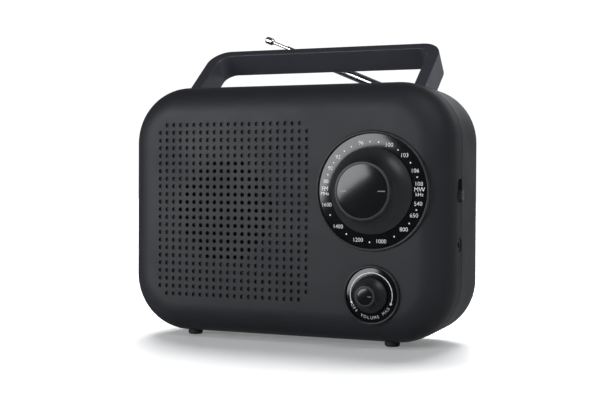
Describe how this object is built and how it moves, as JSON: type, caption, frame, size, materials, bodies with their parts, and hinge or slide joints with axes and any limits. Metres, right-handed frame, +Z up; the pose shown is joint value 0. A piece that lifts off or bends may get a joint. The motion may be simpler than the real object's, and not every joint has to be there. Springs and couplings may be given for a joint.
{
  "type": "tabletop radio",
  "caption": "Portable table radio: rounded case with a grille, a tuning dial, a volume dial, a side switch and socket, a tilting strap handle and a telescopic antenna.",
  "frame": {"origin": "under the middle of the case, on the plane of the feet", "axes": "+X to the right across the front, +Y from the front to the back, +Z up"},
  "size_m": [0.206, 0.1002, 0.1879],
  "materials": {
    "case_front": "fine matt texture, charcoal black",
    "case_rear": "fine matt texture, charcoal black",
    "handle_plastic": "satin, charcoal black",
    "bezel_plastic": "satin black",
    "knob_plastic": "satin black",
    "scale_gloss": "polished black with pale figures",
    "cap_gloss": "polished black",
    "switch_plastic": "satin black",
    "foot_rubber": "matt black",
    "antenna_chrome": "polished",
    "zinc_steel": "zinc plated",
    "tinned_steel": "tin plated",
    "brass": "turned",
    "capacitor_case": "clear natural plastic",
    "black_nylon": "moulded black",
    "white_nylon": "moulded natural",
    "speaker_fabric": "black woven dust cloth",
    "speaker_foam": "black foam",
    "speaker_paper": "pressed paper pulp",
    "ferrite": "sintered, dark grey",
    "board_green": "green solder mask",
    "capacitor_sleeve": "shrink sleeve, blue",
    "copper_wire": "enamelled copper",
    "winding_tape": "yellow tape over the winding",
    "lead_red": "insulated lead, red",
    "lead_black": "insulated lead, black",
    "lead_white": "insulated lead, white",
    "lead_brown": "insulated lead, brown"
  },
  "bodies": {
    "case": {"front_case": "case_front", "rear_case": "case_rear", "case_screws": "zinc_steel", "rubber_feet": "foot_rubber", "handle_pins": "zinc_steel", "dial_bezel": "bezel_plastic", "dial_scale": "scale_gloss", "tuning_capacitor": "capacitor_case", "volume_bezel": "bezel_plastic", "volume_scale": "scale_gloss", "volume_control": "zinc_steel", "band_switch": "zinc_steel", "headphone_jack": "black_nylon", "speaker_cloth": "speaker_fabric", "speaker_gasket": "speaker_foam", "speaker_frame": "zinc_steel", "speaker_cone": "speaker_paper", "speaker_surround": "speaker_foam", "speaker_dust_cap": "speaker_paper", "speaker_magnet": "ferrite", "speaker_clamps": "zinc_steel", "speaker_screws": "zinc_steel", "main_board": "board_green", "board_screws": "zinc_steel", "radio_chips": "black_nylon", "board_capacitors": "capacitor_sleeve", "coil_cans": "tinned_steel", "ferrite_rod": "ferrite", "ferrite_coil": "copper_wire", "ferrite_holders": "white_nylon", "transformer_core": "zinc_steel", "transformer_coil": "winding_tape", "transformer_screws": "zinc_steel", "mains_inlet": "black_nylon", "mains_inlet_pins": "brass", "battery_springs": "tinned_steel", "battery_contacts": "tinned_steel", "speaker_leads": "lead_red", "battery_leads": "lead_black", "antenna_lead": "lead_white", "mains_leads": "lead_brown"},
    "tuning": {"tuning_knob": "knob_plastic", "tuning_knob_cap": "cap_gloss", "tuning_spindle": "brass"},
    "volume": {"volume_knob": "knob_plastic", "volume_knob_cap": "cap_gloss", "volume_spindle": "zinc_steel"},
    "band_slider": {"band_switch_slider": "switch_plastic"},
    "handle": {"carry_handle": "handle_plastic"},
    "door": {"battery_door": "case_rear"},
    "antenna_base": {"antenna_swivel": "antenna_chrome", "antenna_screw": "zinc_steel", "antenna_pin": "zinc_steel"},
    "antenna_1": {"antenna_tube_1": "antenna_chrome"},
    "antenna_2": {"antenna_tube_2": "antenna_chrome"},
    "antenna_3": {"antenna_tube_3": "antenna_chrome"},
    "antenna_4": {"antenna_tube_4": "antenna_chrome"},
    "antenna_end": {"antenna_rod": "antenna_chrome", "antenna_tip": "antenna_chrome"}
  },
  "joints": [
    {"name": "tuning_turn", "type": "hinge", "parent": "case", "child": "tuning", "pos_m": [0.058, -0.034, 0.0888], "axis": [0, 1, 0], "range_deg": [0, 180]},
    {"name": "volume_turn", "type": "hinge", "parent": "case", "child": "volume", "pos_m": [0.058, -0.034, 0.0306], "axis": [0, 1, 0], "range_deg": [-225, 25]},
    {"name": "band_slide", "type": "slide", "parent": "case", "child": "band_slider", "axis": [0, 0, 1], "range_m": [0, 0.005]},
    {"name": "handle_swing", "type": "hinge", "parent": "case", "child": "handle", "pos_m": [0, 0.002, 0.1423], "axis": [1, 0, 0], "range_deg": [0, 50.5]},
    {"name": "door_pull", "type": "slide", "parent": "case", "child": "door", "axis": [0, 1, 0], "range_m": [0, 0.03]},
    {"name": "antenna_swivel_turn", "type": "hinge", "parent": "case", "child": "antenna_base", "pos_m": [0.076, 0.046, 0.1353], "axis": [0, 1, 0], "range_deg": [-22.5, 157.5]},
    {"name": "antenna_tilt", "type": "hinge", "parent": "antenna_base", "child": "antenna_1", "pos_m": [0.076, 0.046, 0.1353], "axis": [-0.3835, 0, -0.9235], "range_deg": [0, 90]},
    {"name": "antenna_slide_2", "type": "slide", "parent": "antenna_1", "child": "antenna_2", "axis": [-0.9235, 0, 0.3835], "range_m": [-0.007, 0.057]},
    {"name": "antenna_slide_3", "type": "slide", "parent": "antenna_2", "child": "antenna_3", "axis": [-0.9235, 0, 0.3835], "range_m": [-0.007, 0.055]},
    {"name": "antenna_slide_4", "type": "slide", "parent": "antenna_3", "child": "antenna_4", "axis": [-0.9235, 0, 0.3835], "range_m": [-0.0102, 0.05]},
    {"name": "antenna_slide_end", "type": "slide", "parent": "antenna_4", "child": "antenna_end", "axis": [-0.9235, 0, 0.3835], "range_m": [-0.0103, 0.048]}
  ]
}
